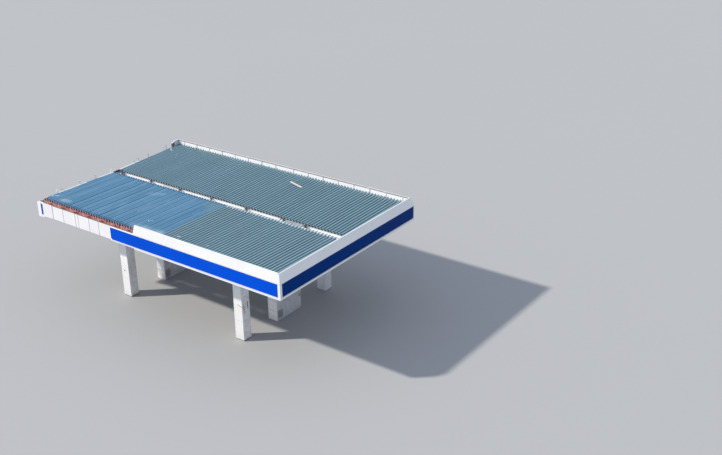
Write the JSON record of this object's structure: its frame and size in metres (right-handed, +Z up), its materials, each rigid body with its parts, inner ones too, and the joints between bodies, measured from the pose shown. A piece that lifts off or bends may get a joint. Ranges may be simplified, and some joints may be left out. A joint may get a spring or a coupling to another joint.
{
  "type": "filling station canopy",
  "caption": "Flat rectangular drive-through canopy on clad columns and long piers, ribbed steel roof falling to a central gutter, blue and white fascia, left end not yet clad.",
  "frame": {"origin": "centre of the plan at ground level", "axes": "+X along the long front towards the finished end, +Y from the front to the back, +Z up"},
  "size_m": [18.76, 12, 6.212],
  "materials": {
    "white_panel": "satin white coated sheet",
    "blue_panel": "glossy translucent blue fascia sheet",
    "red_primer": "matt red oxide primer",
    "zinc_sheet": "dull zinc coated profiled sheet",
    "filmed_sheet": "profiled sheet under pale blue protective film",
    "gutter_white": "white coated folded sheet",
    "pier_board": "dirty off-white boards"
  },
  "bodies": {
    "root": {"base_plates": "red_primer", "steel_posts": "red_primer", "cross_girders": "red_primer", "purlin_stools": "red_primer", "purlins": "red_primer", "edge_beam_front": "red_primer", "edge_beam_back": "red_primer", "edge_beam_left": "red_primer", "edge_beam_right": "red_primer", "gutter_ties": "red_primer", "gutter_floor": "gutter_white", "gutter_walls": "gutter_white", "gutter_straps": "zinc_sheet", "downpipes": "zinc_sheet", "roof_sheets_filmed": "filmed_sheet", "roof_sheets_front": "zinc_sheet", "roof_sheets_back": "zinc_sheet", "column_cladding_front": "white_panel", "column_cladding_back": "white_panel", "pier_cladding_left": "pier_board", "pier_cladding_right": "pier_board", "fascia_studs_front": "red_primer", "fascia_studs_back": "red_primer", "fascia_studs_ends": "red_primer", "fascia_arms": "red_primer", "fascia_rails": "red_primer", "backing_panels_front": "white_panel", "backing_panels_right": "white_panel", "backing_panels_back": "white_panel", "blue_band_front": "blue_panel", "blue_band_right": "blue_panel", "blue_band_back": "blue_panel", "bottom_lip_front": "white_panel", "bottom_lip_right": "white_panel", "bottom_lip_back": "white_panel", "upper_band_front": "white_panel", "upper_band_right": "white_panel", "upper_band_back": "white_panel", "parapet_cap": "white_panel", "parapet_lining_front": "white_panel", "parapet_lining_right": "white_panel", "parapet_lining_back": "white_panel", "corner_posts": "white_panel", "corner_unit_front_left": "white_panel", "left_edge_trim": "white_panel"}
  },
  "joints": []
}
